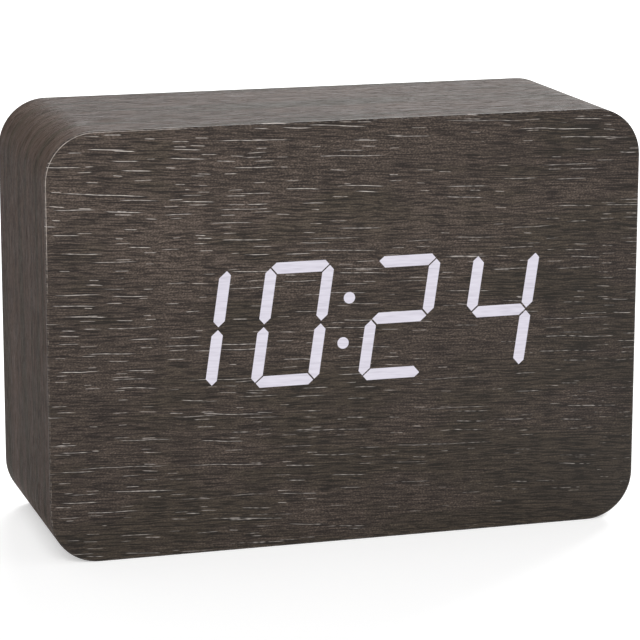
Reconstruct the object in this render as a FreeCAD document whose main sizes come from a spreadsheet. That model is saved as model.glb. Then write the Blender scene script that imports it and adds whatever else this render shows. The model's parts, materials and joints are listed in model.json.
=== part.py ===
import FreeCAD, Part
import math
import os

import Sketcher

# A wood block table clock with four glowing digits.
#
# Frame: X to the right of someone who reads the clock, Y away from them, Z up. The origin lies at the centre
# of the base. "Front" is the face with the digits, at low Y, and "rear" is the face with the battery door.
#
# The block is a milled wood core with a veneer band round it and a veneer sheet on its front and rear. The
# display sits in a window behind the front sheet, and shines through it. A black cover closes the hollow from
# the rear. It carries the battery bay, the three push buttons, their switch board and the power socket.

document = FreeCAD.newDocument("WoodBlockClock")

# ------------------------------------------------------------------------------------- driving dimensions, mm

sheet = document.addObject("Spreadsheet::Sheet", "Sizes")

SIZES = {
    # wood block
    "case_width": 100,
    "case_height": 70,
    "case_depth": 38,
    "corner_radius": 8,
    "veneer": 0.5,
    "edge_break": 0.25,
    "front_wall": 6,
    "hollow_width": 78,
    "hollow_height": 54,
    "hollow_corner": 3,
    # rear cover
    "cover_width": 88,
    "cover_height": 58,
    "cover_corner": 4,
    "cover_thickness": 2,
    "cover_inset": 1,
    "cover_gap": 0.25,
    # digits: sizes run between the middles of the strokes; a level is a height above the middle of the block
    "digit_count": 4,
    "digit_width": 9.58,
    "digit_height": 18.6,
    "digit_pitch": 17.2,
    "digit_slant_angle": 8.1,
    "stroke": 1.87,
    "tip_gap": 0.16,
    "tip_reach": 0.2,
    "waist_gap": 0.23,
    "colon_space": 0.95,
    "colon_spacing": 7.45,
    "colon_radius": 0.96,
    "display_x": -0.68,
    "display_level": 2.2,
    # display
    "reflector_side_margin": 5,
    "reflector_end_margin": 3.2,
    "reflector_gap": 0.2,
    "film_gap": 0.1,
    "diffuser_depth": 3,
    "chip_length": 1.6,
    "chip_width": 0.8,
    "chip_height": 0.6,
    # circuit boards
    "board_thickness": 1.6,
    "display_board_margin": 1,
    "display_board_height": 46,
    "board_corner": 1,
    "board_edge": 3.5,
    "board_side_gap": 1,
    "key_board_height": 46,
    # screws
    "screw_radius": 1.1,
    "screw_length": 6,
    "screw_head_radius": 2,
    "screw_head_height": 1.3,
    "screw_recess_width": 0.5,
    "screw_recess_span": 2.4,
    "screw_recess_depth": 0.8,
    "screw_gap": 0.05,
    "screw_hole_gap": 0.2,
    "screw_counterbore": 0.8,
    "cover_screw_inset": 3,
    # battery bay
    "cell_radius": 5.25,
    "cell_length": 44.5,
    "cell_pitch": 11,
    "cell_gap": 0.2,
    "cell_nub_radius": 1.9,
    "cell_nub_height": 0.9,
    "bay_x": 19.5,
    "bay_wall": 1.5,
    "contact_thickness": 0.4,
    "contact_width": 7,
    "contact_height": 8,
    "lug_width": 3,
    "lug_length": 2,
    "lug_gap": 0.2,
    "spring_length": 3,
    "spring_radius": 2.9,
    "spring_wire": 0.3,
    "spring_turns": 3,
    "lead_radius": 0.6,
    "lead_bend": 2,
    # battery door
    "door_thickness": 1.5,
    "door_rebate": 1,
    "door_gap": 0.3,
    "door_seat_gap": 0.1,
    "door_corner": 1.5,
    "tab_width": 5,
    "tab_spacing": 22,
    "tab_thickness": 1.2,
    "tab_root": 1.5,
    "tab_reach": 1.5,
    "tab_gap": 0.2,
    "tab_swing_gap": 0.4,
    "latch_width": 11,
    "latch_length": 8,
    "latch_slot": 0.8,
    "nose_height": 0.9,
    "nose_length": 1.2,
    "grip_radius": 3.4,
    "grip_depth": 0.5,
    "grip_margin": 1.5,
    # buttons and switches
    "button_count": 3,
    "button_x": -19,
    "button_level": 9,
    "button_spacing": 11,
    "button_radius": 3.5,
    "button_bore_gap": 0.08,
    "button_rise": 0.8,
    "button_edge": 0.5,
    "flange_radius": 4.5,
    "flange_thickness": 1,
    "flange_gap": 0.1,
    "press_travel": 0.5,
    "plunger_radius": 1.7,
    "plunger_rise": 0.9,
    "plunger_length": 1.9,
    "plunger_gap": 0.08,
    "switch_side": 6,
    "switch_height": 3.4,
    "post_radius": 2.8,
    # power socket
    "socket_x": -19,
    "socket_level": -15,
    "socket_width": 7.5,
    "socket_height": 2.7,
    "socket_wall": 0.3,
    "socket_length": 7,
    "socket_hole_gap": 0.35,
    "tongue_width": 4.2,
    "tongue_thickness": 0.6,
    "tongue_recess": 1,
    # parts on the boards
    "ribbon_x": -28,
    "ribbon_level": -4,
    "ribbon_width": 10,
    "ribbon_thickness": 0.3,
    "ribbon_bulge": 3,
    "plug_width": 12,
    "plug_height": 4,
    "plug_depth": 5,
    "controller_x": -12,
    "controller_level": 9,
    "controller_length": 18,
    "controller_width": 7.5,
    "controller_height": 2.3,
    "driver_x": -12,
    "driver_level": -6,
    "driver_length": 10,
    "driver_width": 4,
    "driver_height": 1.6,
    "leg_pitch": 1.27,
    "leg_width": 0.4,
    "leg_reach": 1.3,
    "leg_height": 0.5,
    "crystal_x": 4,
    "crystal_level": 11,
    "crystal_radius": 1,
    "crystal_length": 6,
    "buzzer_x": 0,
    "buzzer_level": -13,
    "buzzer_radius": 6,
    "buzzer_height": 8,
    "buzzer_hole": 1,
    "buzzer_hole_depth": 3,
    "backup_x": 22,
    "backup_level": 2,
    "backup_radius": 10,
    "backup_thickness": 3.2,
    "holder_wall": 1.2,
    "holder_floor": 1,
    "holder_gap": 0.1,
    "holder_reach": 1.6,
    "capacitor_x": -17,
    "capacitor_level": -5,
    "capacitor_radius": 3.15,
    "capacitor_height": 7,
    "resistor_count": 7,
    "resistor_length": 2,
    "resistor_width": 1.25,
    "resistor_height": 0.5,
    "resistor_pitch": 3,
    "resistor_row_x": 8,
    "resistor_level": -17,
}

for row, (alias, number) in enumerate(SIZES.items(), start=1):
    sheet.set(f"A{row}", alias.replace("_", " "))
    sheet.set(f"B{row}", str(number))
    sheet.setAlias(f"B{row}", alias)

# -------------------------------------------------------------------------- places that follow from the sizes

layout = document.addObject("App::VarSet", "Layout")


def place(name, expression):
    """Adds a place or a derived size to the layout."""
    layout.addProperty("App::PropertyFloat", name, "Layout", "")
    layout.setExpression(name, expression)
    document.recompute([layout])


document.recompute()

place("front", "-Sizes.case_depth / 2")
place("rear", "Sizes.case_depth / 2")
place("middle", "Sizes.case_height / 2")
for name in (
    "display",
    "button",
    "socket",
    "ribbon",
    "controller",
    "driver",
    "crystal",
    "buzzer",
    "backup",
    "capacitor",
    "resistor",
):
    place(f"{name}_z", f"middle + Sizes.{name}_level")

place("core_front", "front + Sizes.veneer")
place("core_rear", "rear - Sizes.veneer")
place("core_side", "Sizes.case_width / 2 - Sizes.veneer")
place("core_top", "Sizes.case_height - Sizes.veneer")
place("core_corner", "Sizes.corner_radius - Sizes.veneer")

place("hollow_side", "Sizes.hollow_width / 2")
place("hollow_low", "middle - Sizes.hollow_height / 2")
place("hollow_top", "middle + Sizes.hollow_height / 2")
place("recess_side", "Sizes.cover_width / 2")
place("recess_low", "middle - Sizes.cover_height / 2")
place("recess_top", "middle + Sizes.cover_height / 2")
place("cover_rear", "rear - Sizes.cover_inset")
place("cover_front", "cover_rear - Sizes.cover_thickness")
place("cover_side", "recess_side - Sizes.cover_gap")
place("cover_low", "recess_low + Sizes.cover_gap")
place("cover_top", "recess_top - Sizes.cover_gap")
place("cover_screw_seat", "cover_rear - Sizes.screw_counterbore")
place("cover_screw_x", "recess_side - Sizes.cover_screw_inset")
place("cover_screw_low", "recess_low + Sizes.cover_screw_inset")
place("cover_screw_top", "recess_top - Sizes.cover_screw_inset")

place("display_board_front", "core_front + Sizes.front_wall")
place("display_board_rear", "display_board_front + Sizes.board_thickness")
place("reflector_front", "core_front + Sizes.film_gap")
place("digits_width", "(Sizes.digit_count - 1) * Sizes.digit_pitch + Sizes.colon_space + Sizes.digit_width")
place("reflector_width", "digits_width + 2 * Sizes.reflector_side_margin")
place("reflector_height", "Sizes.digit_height + 2 * Sizes.reflector_end_margin")
place("reflector_left", "Sizes.display_x - reflector_width / 2")
place("reflector_right", "Sizes.display_x + reflector_width / 2")
place("reflector_low", "display_z - reflector_height / 2")
place("reflector_top", "display_z + reflector_height / 2")
place("diffuser_rear", "reflector_front + Sizes.diffuser_depth")
place("display_board_left", "reflector_left - Sizes.display_board_margin")
place("display_board_right", "reflector_right + Sizes.display_board_margin")
place("display_board_low", "display_z - Sizes.display_board_height / 2")
place("display_board_top", "display_z + Sizes.display_board_height / 2")
place("display_screw_left", "display_board_left + Sizes.board_edge")
place("display_screw_right", "display_board_right - Sizes.board_edge")
place("display_screw_low", "display_board_low + Sizes.board_edge")
place("display_screw_top", "display_board_top - Sizes.board_edge")

place("bay_width", "2 * Sizes.cell_pitch + 2 * Sizes.cell_radius + 2 * Sizes.cell_gap")
place("bay_length", "Sizes.cell_length + Sizes.spring_length + 2 * Sizes.contact_thickness")
place("bay_left", "Sizes.bay_x - bay_width / 2")
place("bay_right", "Sizes.bay_x + bay_width / 2")
place("bay_low", "middle - bay_length / 2")
place("bay_top", "middle + bay_length / 2")
place("door_front", "cover_rear - Sizes.door_thickness")
place("door_seat", "door_front - Sizes.door_seat_gap")
place("cell_y", "door_seat - Sizes.cell_gap - Sizes.cell_radius")
place("bay_floor", "cell_y - Sizes.cell_radius - Sizes.cell_gap")
place("bay_under", "bay_floor - Sizes.bay_wall")
place("contact_top", "bay_floor + Sizes.contact_height")
place("doorway_left", "bay_left - Sizes.door_rebate")
place("doorway_right", "bay_right + Sizes.door_rebate")
place("doorway_low", "bay_low - Sizes.door_rebate")
place("doorway_top", "bay_top + Sizes.door_rebate")
place("door_left", "doorway_left + Sizes.door_gap")
place("door_right", "doorway_right - Sizes.door_gap")
place("door_low", "doorway_low + Sizes.door_gap")
place("door_top", "doorway_top - Sizes.door_gap")
place("tab_top", "bay_low + Sizes.tab_gap + Sizes.tab_root")
place("tab_low", "bay_low - Sizes.tab_reach")
place("tab_rear", "cover_front - Sizes.tab_gap")
place("tab_front", "tab_rear - Sizes.tab_thickness")

place("flange_rear", "cover_front - Sizes.flange_gap")
place("plunger_top", "flange_rear - Sizes.flange_thickness")
place("switch_top", "plunger_top - Sizes.plunger_rise")
place("key_board_rear", "switch_top - Sizes.switch_height")
place("key_board_front", "key_board_rear - Sizes.board_thickness")
place("key_board_left", "-hollow_side + Sizes.board_side_gap")
place("key_board_right", "bay_left - Sizes.bay_wall - Sizes.board_side_gap")
place("key_board_low", "middle - Sizes.key_board_height / 2")
place("key_board_top", "middle + Sizes.key_board_height / 2")
place("post_left", "key_board_left + Sizes.board_edge")
place("post_right", "key_board_right - Sizes.board_edge")
place("post_low", "key_board_low + Sizes.board_edge")
place("post_top", "key_board_top - Sizes.board_edge")
place("socket_rear", "key_board_rear + Sizes.socket_length")


def size(name):
    """Reads one driving dimension, in mm or degrees."""
    return float(sheet.get(name))


def at(name):
    """Reads one place of the layout."""
    return float(getattr(layout, name))


# ------------------------------------------------------------------------------------------ sketching helpers

BOTH_SIDES = (-1, 1)

# How a sketch numbers the points of a line, an arc or a circle. Its own origin is the start of geometry -1.
START, END, CENTRE = range(1, 4)
ORIGIN = (-1, START)

FLAT_TOLERANCE = 1e-4


def new_body(label):
    body = document.addObject("PartDesign::Body", label)
    body.Label = label
    return body


def sketch_on(body, name, depth):
    """A sketch in the plane Y = depth. It looks the way the front does: its x is X and its y is Z."""
    plane = next(f for f in body.Origin.OriginFeatures if f.Role == "XZ_Plane")
    sketch = body.newObject("Sketcher::SketchObject", name)
    sketch.AttachmentSupport = [(plane, "")]
    sketch.MapMode = "FlatFace"
    sketch.setExpression("AttachmentOffset.Base.z", f"-({depth})")
    return sketch


def bind(sketch, constraint, expression):
    """Adds a measured constraint whose value follows an expression."""
    index = sketch.addConstraint(constraint)
    name = f"size_{index}"
    sketch.renameConstraint(index, name)
    sketch.setExpression(f"Constraints.{name}", expression)


def fix_point(sketch, geometry, point, x, z):
    """Ties one point of a sketch to its two distances from the origin."""
    where = sketch.getPoint(geometry, point)
    bind(sketch, Sketcher.Constraint("DistanceX", *ORIGIN, geometry, point, where.x), x)
    bind(sketch, Sketcher.Constraint("DistanceY", *ORIGIN, geometry, point, where.y), z)


def add_rectangle(sketch, left, right, low, top):
    x0, x1, z0, z1 = (float(sketch.evalExpression(e)) for e in (left, right, low, top))
    corners = [FreeCAD.Vector(x, z, 0) for x, z in ((x0, z0), (x1, z0), (x1, z1), (x0, z1))]
    lines = [sketch.addGeometry(Part.LineSegment(corners[i], corners[(i + 1) % 4])) for i in range(4)]
    for i, line in enumerate(lines):
        sketch.addConstraint(Sketcher.Constraint("Coincident", line, END, lines[(i + 1) % 4], START))
        sketch.addConstraint(Sketcher.Constraint("Vertical" if i % 2 else "Horizontal", line))
    low_line, _, top_line, _ = lines
    fix_point(sketch, low_line, START, left, low)
    fix_point(sketch, top_line, START, right, top)


def add_round_rectangle(sketch, left, right, low, top, radius):
    """A rectangle whose corners are arcs: the centre of each arc is fixed, and the sides touch the arcs."""
    x0, x1, z0, z1, r = (float(sketch.evalExpression(e)) for e in (left, right, low, top, radius))
    near, far = f"({left}) + ({radius})", f"({right}) - ({radius})"
    below, above = f"({low}) + ({radius})", f"({top}) - ({radius})"
    normal = FreeCAD.Vector(0, 0, 1)
    arcs = []
    for turn, (x, z, centre) in enumerate((
        (x1 - r, z0 + r, (far, below)),
        (x1 - r, z1 - r, (far, above)),
        (x0 + r, z1 - r, (near, above)),
        (x0 + r, z0 + r, (near, below)),
    )):
        start = math.radians(90 * (turn - 1))
        circle = Part.Circle(FreeCAD.Vector(x, z, 0), normal, r)
        arcs.append((sketch.addGeometry(Part.ArcOfCircle(circle, start, start + math.pi / 2)), centre))
    for i, (arc, _) in enumerate(arcs):
        following = arcs[(i + 1) % 4][0]
        ends = (sketch.getPoint(arc, END), sketch.getPoint(following, START))
        line = sketch.addGeometry(Part.LineSegment(*ends))
        sketch.addConstraint(Sketcher.Constraint("Tangent", arc, END, line, START))
        sketch.addConstraint(Sketcher.Constraint("Tangent", line, END, following, START))
    for arc, centre in arcs:
        bind(sketch, Sketcher.Constraint("Radius", arc, r), radius)
        fix_point(sketch, arc, CENTRE, *centre)


def add_circle(sketch, x, z, radius):
    centre = FreeCAD.Vector(float(sketch.evalExpression(x)), float(sketch.evalExpression(z)), 0)
    r = float(sketch.evalExpression(radius))
    circle = sketch.addGeometry(Part.Circle(centre, FreeCAD.Vector(0, 0, 1), r))
    bind(sketch, Sketcher.Constraint("Radius", circle, r), radius)
    fix_point(sketch, circle, CENTRE, x, z)


def pad(body, sketch, thickness):
    """Adds material from the sketch's plane towards the front."""
    feature = body.newObject("PartDesign::Pad", "Pad")
    feature.Profile = sketch
    feature.setExpression("Length", thickness)
    body.Tip = feature
    document.recompute()
    return feature


def pocket(body, sketch, depth):
    """Cuts from the sketch's plane towards the front, and checks that something was cut."""
    before = body.Shape.Volume
    feature = body.newObject("PartDesign::Pocket", "Pocket")
    feature.Profile = sketch
    feature.Reversed = True
    feature.setExpression("Length", depth)
    body.Tip = feature
    document.recompute()
    if body.Shape.Volume >= before:
        raise RuntimeError(f"{body.Label}: {sketch.Label} cuts nothing")
    return feature


def dress(body, kind, edges, property_name, expression):
    """Rounds or bevels edges of the body's last feature."""
    base = body.Tip
    feature = body.newObject(kind, "Dress")
    feature.Base = (base, [f"Edge{i}" for i in edges])
    feature.setExpression(property_name, expression)
    body.Tip = feature
    document.recompute()
    return feature


def outer_edges(shape, y):
    """The numbers of the edges on the outer boundary of the flat face at the given Y."""
    flat = [f for f in shape.Faces if abs(f.BoundBox.YMin - y) + abs(f.BoundBox.YMax - y) < FLAT_TOLERANCE]
    wires = [f.OuterWire for f in flat]
    largest = max(wires, key=lambda wire: wire.BoundBox.DiagonalLength)
    return [i for i, edge in enumerate(shape.Edges, start=1) if any(edge.isSame(e) for e in largest.Edges)]


def four_corners(left, right, low, top):
    return [(x, z) for x in (left, right) for z in (low, top)]


COVER_SCREWS = four_corners(
    "-Layout.cover_screw_x", "Layout.cover_screw_x", "Layout.cover_screw_low", "Layout.cover_screw_top"
)
DISPLAY_SCREWS = four_corners(
    "Layout.display_screw_left",
    "Layout.display_screw_right",
    "Layout.display_screw_low",
    "Layout.display_screw_top",
)
POSTS = four_corners("Layout.post_left", "Layout.post_right", "Layout.post_low", "Layout.post_top")

BUTTON_X = [
    f"(Sizes.button_x + {i} * Sizes.button_spacing - (Sizes.button_count - 1) / 2 * Sizes.button_spacing)"
    for i in range(int(SIZES["button_count"]))
]

CELL_X = [f"(Sizes.bay_x + {i} * Sizes.cell_pitch)" for i in (-1, 0, 1)]

# The first cell's upper contact and the last cell's lower one each have a lug through the floor of the bay.
LUGS = [
    (CELL_X[0], "(Layout.bay_top - Sizes.contact_thickness / 2)"),
    (CELL_X[2], "(Layout.bay_low + Sizes.contact_thickness / 2)"),
]


# --------------------------------------------------------------------------------------------- the wood block


def core_outline(sketch):
    side, top, corner = "Layout.core_side", "Layout.core_top", "Layout.core_corner"
    add_round_rectangle(sketch, f"-{side}", side, "Sizes.veneer", top, corner)


def case_outline(sketch):
    side = "Sizes.case_width / 2"
    add_round_rectangle(sketch, f"-{side}", side, "0", "Sizes.case_height", "Sizes.corner_radius")


def recess_outline(sketch):
    side, low, top = "Layout.recess_side", "Layout.recess_low", "Layout.recess_top"
    add_round_rectangle(sketch, f"-{side}", side, low, top, "Sizes.cover_corner")


def make_wood_core():
    """The milled block: a recess for the cover, a hollow for the works and a window for the display."""
    body = new_body("wood_core")
    outline = sketch_on(body, "CoreOutline", "Layout.core_rear")
    core_outline(outline)
    pad(body, outline, "Layout.core_rear - Layout.core_front")

    recess = sketch_on(body, "CoverRecess", "Layout.core_rear")
    recess_outline(recess)
    pocket(body, recess, "Layout.core_rear - Layout.cover_front")

    hollow = sketch_on(body, "Hollow", "Layout.cover_front")
    side, low, top = "Layout.hollow_side", "Layout.hollow_low", "Layout.hollow_top"
    add_round_rectangle(hollow, f"-{side}", side, low, top, "Sizes.hollow_corner")
    pocket(body, hollow, "Layout.cover_front - Layout.display_board_front")

    window = sketch_on(body, "DisplayWindow", "Layout.display_board_front")
    add_rectangle(
        window,
        "Layout.reflector_left - Sizes.reflector_gap",
        "Layout.reflector_right + Sizes.reflector_gap",
        "Layout.reflector_low - Sizes.reflector_gap",
        "Layout.reflector_top + Sizes.reflector_gap",
    )
    pocket(body, window, "Sizes.front_wall")

    pilots = sketch_on(body, "DisplayPilots", "Layout.display_board_front")
    for x, z in DISPLAY_SCREWS:
        add_circle(pilots, x, z, "Sizes.screw_radius + Sizes.screw_gap")
    pocket(body, pilots, "Sizes.screw_length - Sizes.board_thickness + Sizes.screw_gap")

    pilots = sketch_on(body, "CoverPilots", "Layout.cover_front")
    for x, z in COVER_SCREWS:
        add_circle(pilots, x, z, "Sizes.screw_radius + Sizes.screw_gap")
    shank_start = "Layout.cover_front - Layout.cover_screw_seat"
    pocket(body, pilots, f"{shank_start} + Sizes.screw_length + Sizes.screw_gap")
    return body


def make_wrap_veneer():
    """The band of veneer round the top, the base, the sides and the rounded corners."""
    body = new_body("wrap_veneer")
    outline = sketch_on(body, "BandOutline", "Layout.core_rear")
    case_outline(outline)
    core_outline(outline)
    pad(body, outline, "Layout.core_rear - Layout.core_front")
    return body


def make_front_veneer():
    """The front sheet, whole over the display, with its outer edge broken."""
    body = new_body("front_veneer")
    outline = sketch_on(body, "SheetOutline", "Layout.core_front")
    case_outline(outline)
    pad(body, outline, "Sizes.veneer")
    dress(body, "PartDesign::Chamfer", outer_edges(body.Shape, at("front")), "Size", "Sizes.edge_break")
    return body


def make_rear_veneer():
    """The rear sheet, a frame round the cover's recess."""
    body = new_body("rear_veneer")
    outline = sketch_on(body, "SheetOutline", "Layout.rear")
    case_outline(outline)
    recess_outline(outline)
    pad(body, outline, "Sizes.veneer")
    dress(body, "PartDesign::Chamfer", outer_edges(body.Shape, at("rear")), "Size", "Sizes.edge_break")
    return body


# ------------------------------------------------------------------------------------------------ the display

SEGMENTS = {
    # name: middle in digit widths and heights from the digit's centre, and whether it lies flat
    "top": (0, 0.5, True),
    "middle": (0, 0, True),
    "bottom": (0, -0.5, True),
    "upper_left": (-0.5, 0.25, False),
    "upper_right": (0.5, 0.25, False),
    "lower_left": (-0.5, -0.25, False),
    "lower_right": (0.5, -0.25, False),
}


DIGITS = range(int(size("digit_count")))


def lean(x, z, y):
    """A point of the display: X leans with the digits' slant, Z counts from the display's middle."""
    slope = math.tan(math.radians(size("digit_slant_angle")))
    return FreeCAD.Vector(size("display_x") + x + z * slope, y, at("display_z") + z)


def prism(points, front, rear):
    """A block with a flat outline in X and Z, given from front to rear."""
    face = Part.Face(Part.makePolygon([lean(x, z, front) for x, z in points + points[:1]]))
    return face.extrude(FreeCAD.Vector(0, rear - front, 0))


def segment_outline(centre_x, segment):
    """The six corners of one bar of a digit, before it leans.

    At the digit's own corners the tips reach outwards. At its waist the upright bars stand further apart."""
    across, up, flat = SEGMENTS[segment]
    x = centre_x + across * size("digit_width")
    z = up * size("digit_height")
    room = (size("digit_width") if flat else size("digit_height") / 2) / 2
    half = size("stroke") / 2
    outward = math.copysign(1, up if flat else across)
    bar = []
    for end in BOTH_SIDES:
        at_corner = up != 0 if flat else end * up > 0
        reach = size("tip_reach") if at_corner else 0
        gap = size("tip_gap") if flat or at_corner else size("waist_gap")
        flank = room - gap - half
        corners = [(flank, -half), (flank + half + reach, reach), (flank + 2 * reach, half)]
        bar += [(end * along, outward * aside) for along, aside in corners[::end]]
    return [(x + a, z + b) if flat else (x + b, z + a) for a, b in bar]


def digit_centre(index):
    """X of a digit's middle, from the display's middle: half the digits stand on each side of the colon."""
    from_middle = index - DIGITS[-1] / 2
    return from_middle * size("digit_pitch") + math.copysign(size("colon_space") / 2, from_middle)


def colon_dot(side, front, rear):
    centre = lean(0, side * size("colon_spacing") / 2, front)
    return Part.makeCylinder(size("colon_radius"), rear - front, centre, FreeCAD.Vector(0, 1, 0))


def light_shapes(front, rear):
    """Every bar and dot of the display, as one block each."""
    bars = [
        prism(segment_outline(digit_centre(index), segment), front, rear)
        for index in DIGITS
        for segment in SEGMENTS
    ]
    return bars + [colon_dot(side, front, rear) for side in BOTH_SIDES]


def feature(label, shape):
    """A sub-part whose shape is worked out from the sheet."""
    part = document.addObject("Part::Feature", label)
    part.Label = label
    part.Shape = shape
    part.Placement = FreeCAD.Placement()
    return part


def make_display():
    """The white block with a light well for each bar and dot, and the milky filling of each well."""
    block = document.addObject("Part::Box", "ReflectorBlock")
    block.setExpression("Length", "Layout.reflector_width")
    block.setExpression("Width", "Layout.display_board_front - Layout.reflector_front")
    block.setExpression("Height", "Layout.reflector_height")
    block.setExpression("Placement.Base.x", "Layout.reflector_left")
    block.setExpression("Placement.Base.y", "Layout.reflector_front")
    block.setExpression("Placement.Base.z", "Layout.reflector_low")
    bars_and_dots = light_shapes(at("reflector_front"), at("display_board_front"))
    wells = feature("LightWells", Part.makeCompound(bars_and_dots))
    reflector = document.addObject("Part::Cut", "display_reflector")
    reflector.Base = block
    reflector.Tool = wells
    reflector.Label = "display_reflector"
    parts = [reflector]

    for index in DIGITS:
        bars = [
            prism(segment_outline(digit_centre(index), segment), at("reflector_front"), at("diffuser_rear"))
            for segment in SEGMENTS
        ]
        parts.append(feature(f"digit_{index + 1}_diffusers", Part.makeCompound(bars)))
    dots = [colon_dot(side, at("reflector_front"), at("diffuser_rear")) for side in BOTH_SIDES]
    parts.append(feature("colon_diffusers", Part.makeCompound(dots)))
    return parts


def make_light_chips():
    """One light chip at the bottom of each well, soldered to the display board."""
    chips = []
    for index in DIGITS:
        for segment, (across, up, flat) in SEGMENTS.items():
            x = digit_centre(index) + across * size("digit_width")
            chips.append((lean(x, up * size("digit_height"), 0), flat))
    chips += [(lean(0, side * size("colon_spacing") / 2, 0), None) for side in BOTH_SIDES]
    solids = []
    for centre, flat in chips:
        length = size("chip_length") if flat is not None else size("chip_width")
        wide, tall = (length, size("chip_width")) if flat else (size("chip_width"), length)
        chip_front = at("display_board_front") - size("chip_height")
        corner = FreeCAD.Vector(centre.x - wide / 2, chip_front, centre.z - tall / 2)
        solids.append(Part.makeBox(wide, size("chip_height"), tall, corner))
    return feature("light_chips", Part.makeCompound(solids))


# ------------------------------------------------------------------------------------------ boards and screws


def make_board(label, edges, rear, holes):
    """A glass fibre board with rounded corners and a clear hole for each screw."""
    body = new_body(label)
    outline = sketch_on(body, "BoardOutline", rear)
    add_round_rectangle(outline, *edges, "Sizes.board_corner")
    for x, z in holes:
        add_circle(outline, x, z, "Sizes.screw_radius + Sizes.screw_hole_gap")
    pad(body, outline, "Sizes.board_thickness")
    return body


def make_screws(label, places, head_seat, towards_front):
    """A set of pan head screws: heads on the seat, shanks through it, and a cross in each head."""
    body = new_body(label)
    head_rear = f"{head_seat} + Sizes.screw_head_height" if towards_front else head_seat
    heads = sketch_on(body, "Heads", head_rear)
    for x, z in places:
        add_circle(heads, x, z, "Sizes.screw_head_radius")
    pad(body, heads, "Sizes.screw_head_height")

    shank_rear = head_seat if towards_front else f"{head_seat} + Sizes.screw_length"
    shanks = sketch_on(body, "Shanks", shank_rear)
    for x, z in places:
        add_circle(shanks, x, z, "Sizes.screw_radius")
    pad(body, shanks, "Sizes.screw_length")

    depth = "Sizes.screw_recess_depth"
    recess_rear = head_rear if towards_front else f"{head_seat} - Sizes.screw_head_height + {depth}"
    for wide, tall in (("span", "width"), ("width", "span")):
        cross = sketch_on(body, "Cross", recess_rear)
        for x, z in places:
            half_x, half_z = (f"Sizes.screw_recess_{name} / 2" for name in (wide, tall))
            add_rectangle(cross, f"{x} - {half_x}", f"{x} + {half_x}", f"{z} - {half_z}", f"{z} + {half_z}")
        pocket(body, cross, depth)
    return body


def make_boards():
    display_board = make_board(
        "display_board",
        (
            "Layout.display_board_left",
            "Layout.display_board_right",
            "Layout.display_board_low",
            "Layout.display_board_top",
        ),
        "Layout.display_board_rear",
        DISPLAY_SCREWS,
    )
    key_board = make_board(
        "key_board",
        ("Layout.key_board_left", "Layout.key_board_right", "Layout.key_board_low", "Layout.key_board_top"),
        "Layout.key_board_rear",
        POSTS,
    )
    return [
        display_board,
        key_board,
        make_screws("display_board_screws", DISPLAY_SCREWS, "Layout.display_board_rear", True),
        make_screws("key_board_screws", POSTS, "Layout.key_board_front", False),
        make_screws("cover_screws", COVER_SCREWS, "Layout.cover_screw_seat", True),
    ]


# ---------------------------------------------------------------------------------------- parts on the boards


def box(label, length, width, height, x, y, z):
    """A block centred on X and Z, with its low Y face at y. All are expressions."""
    part = document.addObject("Part::Box", label)
    part.Label = label
    part.setExpression("Length", length)
    part.setExpression("Width", width)
    part.setExpression("Height", height)
    part.setExpression("Placement.Base.x", f"{x} - {length} / 2")
    part.setExpression("Placement.Base.y", y)
    part.setExpression("Placement.Base.z", f"{z} - {height} / 2")
    return part


def cylinder(label, radius, length, x, y, z):
    """A round bar along +Y from y. All are expressions."""
    part = document.addObject("Part::Cylinder", label)
    part.Label = label
    part.Placement = FreeCAD.Placement(FreeCAD.Vector(), FreeCAD.Rotation(FreeCAD.Vector(1, 0, 0), -90))
    part.setExpression("Radius", radius)
    part.setExpression("Height", length)
    part.setExpression("Placement.Base.x", x)
    part.setExpression("Placement.Base.y", y)
    part.setExpression("Placement.Base.z", z)
    return part


def boolean(kind, label, base, tool):
    result = document.addObject(kind, label)
    result.Base = base
    result.Tool = tool
    result.Label = label
    return result


def make_chip(name):
    """A flat black chip on the rear of the display board."""
    size_of = f"Sizes.{name}"
    return box(
        f"{name}_chip",
        f"{size_of}_length",
        f"{size_of}_height",
        f"{size_of}_width",
        f"{size_of}_x",
        "Layout.display_board_rear",
        f"Layout.{name}_z",
    )


def make_chip_legs():
    """The two rows of legs beside each chip."""
    legs = []
    for name in ("controller", "driver"):
        count = int(size(f"{name}_length") // size("leg_pitch"))
        for side in BOTH_SIDES:
            edge = at(f"{name}_z") + side * size(f"{name}_width") / 2
            for i in range(count):
                x = size(f"{name}_x") + (i - (count - 1) / 2) * size("leg_pitch")
                low = edge if side > 0 else edge - size("leg_reach")
                corner = FreeCAD.Vector(x - size("leg_width") / 2, at("display_board_rear"), low)
                legs.append(Part.makeBox(size("leg_width"), size("leg_height"), size("leg_reach"), corner))
    return feature("chip_legs", Part.makeCompound(legs))


def make_crystal():
    """The watch crystal lies along X on the display board."""
    part = document.addObject("Part::Cylinder", "clock_crystal")
    part.Label = "clock_crystal"
    part.Placement = FreeCAD.Placement(FreeCAD.Vector(), FreeCAD.Rotation(FreeCAD.Vector(0, 1, 0), 90))
    part.setExpression("Radius", "Sizes.crystal_radius")
    part.setExpression("Height", "Sizes.crystal_length")
    part.setExpression("Placement.Base.x", "Sizes.crystal_x - Sizes.crystal_length / 2")
    part.setExpression("Placement.Base.y", "Layout.display_board_rear + Sizes.crystal_radius")
    part.setExpression("Placement.Base.z", "Layout.crystal_z")
    return part


def make_buzzer():
    """The alarm's sounder, with a sound hole in its cap."""
    x, z, seat = "Sizes.buzzer_x", "Layout.buzzer_z", "Layout.display_board_rear"
    can = cylinder("BuzzerCan", "Sizes.buzzer_radius", "Sizes.buzzer_height", x, seat, z)
    depth = "Sizes.buzzer_hole_depth"
    hole = cylinder("BuzzerHole", "Sizes.buzzer_hole", depth, x, f"{seat} + Sizes.buzzer_height - {depth}", z)
    return boolean("Part::Cut", "buzzer", can, hole)


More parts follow.
